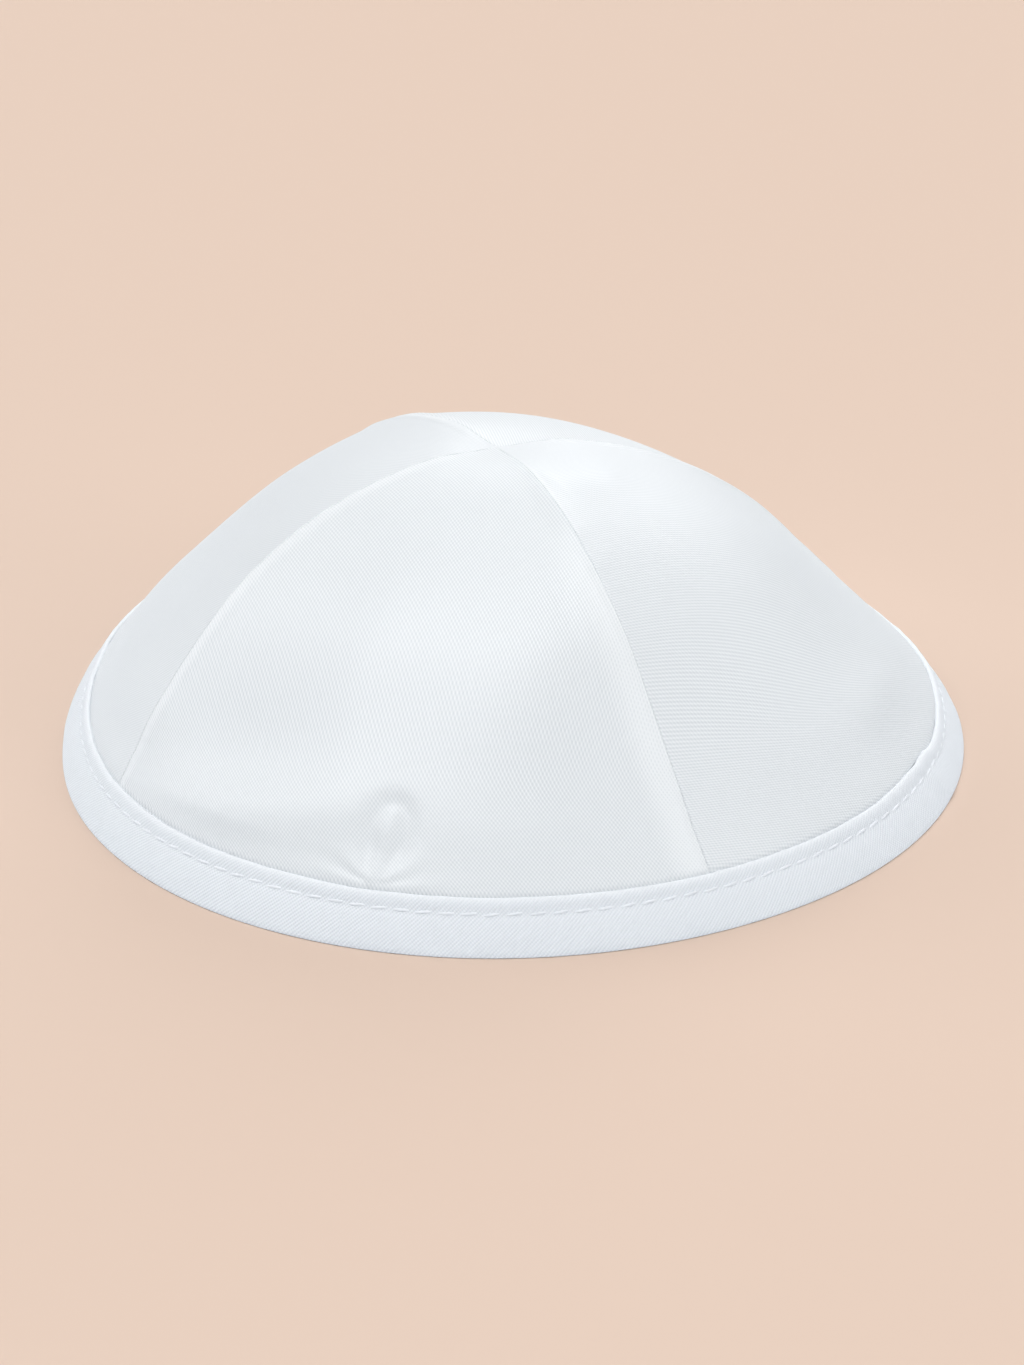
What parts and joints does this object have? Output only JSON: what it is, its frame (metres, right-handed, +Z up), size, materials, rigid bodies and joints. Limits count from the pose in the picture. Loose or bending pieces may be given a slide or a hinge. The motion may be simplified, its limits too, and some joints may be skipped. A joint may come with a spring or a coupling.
{
  "type": "kippah skullcap",
  "caption": "Round satin skullcap of shaped gores sewn into a soft dome, its rim bound with a folded bias tape and open underneath for the head.",
  "frame": {"origin": "centre of the rim's underside, where the cap stands", "axes": "+Z up through the crown, -Y through the middle of the front gore, +X through the right gore"},
  "size_m": [0.1652, 0.1694, 0.053],
  "materials": {
    "satin": "white satin with a soft sheen and a fine diagonal weave",
    "binding_tape": "white matt cotton bias tape with a fine twill weave",
    "stitch_thread": "white sewing thread with a slight sheen"
  },
  "bodies": {
    "root": {"gore_front": "satin", "gore_right": "satin", "gore_back": "satin", "gore_left": "satin", "rim_binding": "binding_tape"}
  },
  "joints": []
}
